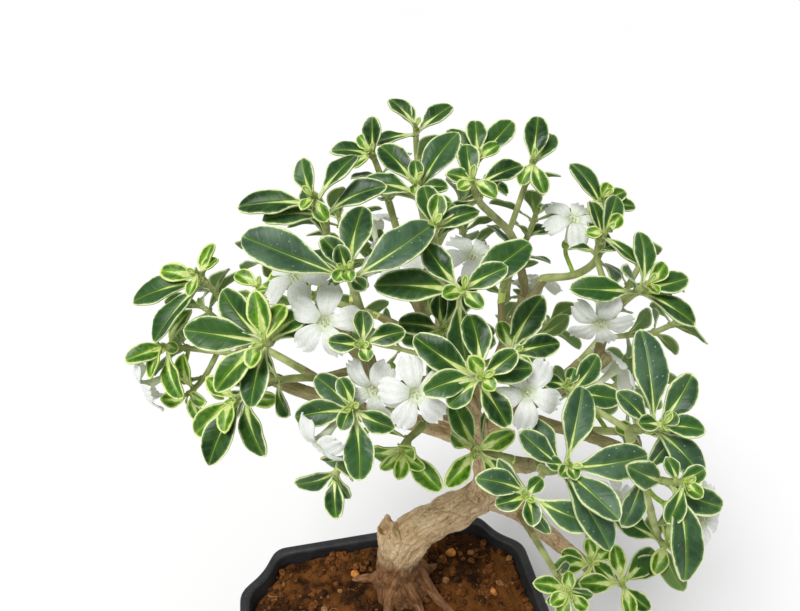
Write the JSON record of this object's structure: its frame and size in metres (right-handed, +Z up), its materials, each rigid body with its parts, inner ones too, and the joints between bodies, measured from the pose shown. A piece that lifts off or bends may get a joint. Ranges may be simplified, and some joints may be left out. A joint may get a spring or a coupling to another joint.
{
  "type": "serissa bonsai in a pot",
  "caption": "Variegated serissa bonsai with white blooms on a leaning trunk, standing in soil in a dark rectangular pot with canted corners; a decorative potted plant.",
  "frame": {"origin": "On the surface that the feet stand on, under the middle of the whole tree's footprint.", "axes": "+X to the right along the pot's long side, +Y to the back, +Z up the tree, its longest extent."},
  "size_m": [0.1592, 0.125, 0.2137],
  "materials": {
    "pot": "satin",
    "screen": "matte",
    "soil": "matte",
    "wood": "matte",
    "leaf": "satin",
    "petal": "matte"
  },
  "bodies": {
    "root": {"bloom_back_1": "petal", "bloom_back_2": "petal", "bloom_back_3": "petal", "bloom_back_right": "petal", "bloom_centre": "petal", "bloom_centre_behind": "petal", "bloom_deep": "petal", "bloom_far_left": "petal", "bloom_inner": "petal", "bloom_left": "petal", "bloom_low_edge": "petal", "bloom_low_right": "petal", "bloom_nodding": "petal", "bloom_right": "petal", "bloom_side": "petal", "bloom_under_leaf": "petal", "bloom_upper_left": "petal", "drain_screen_left": "screen", "drain_screen_right": "screen", "pot": "pot", "soil": "soil", "spray_back_shoulder": "leaf", "spray_centre": "leaf", "spray_crest_left": "leaf", "spray_far_left": "leaf", "spray_fill_01": "leaf", "spray_fill_02": "leaf", "spray_fill_03": "leaf", "spray_fill_04": "leaf", "spray_fill_05": "leaf", "spray_fill_06": "leaf", "spray_fill_07": "leaf", "spray_fill_08": "leaf", "spray_front_left": "leaf", "spray_heart": "leaf", "spray_left_hang": "leaf", "spray_left_shoulder": "leaf", "spray_left_star": "leaf", "spray_low_centre": "leaf", "spray_low_mid": "leaf", "spray_low_right_front": "leaf", "spray_low_right_high": "leaf", "spray_low_right_near": "leaf", "spray_mid": "leaf", "spray_right_back": "leaf", "spray_right_hang": "leaf", "spray_right_star": "leaf", "spray_right_tall": "leaf", "spray_right_top": "leaf", "spray_top": "leaf", "spray_top_back": "leaf", "spray_top_left": "leaf", "spray_under": "leaf", "trunk": "wood"}
  },
  "joints": []
}
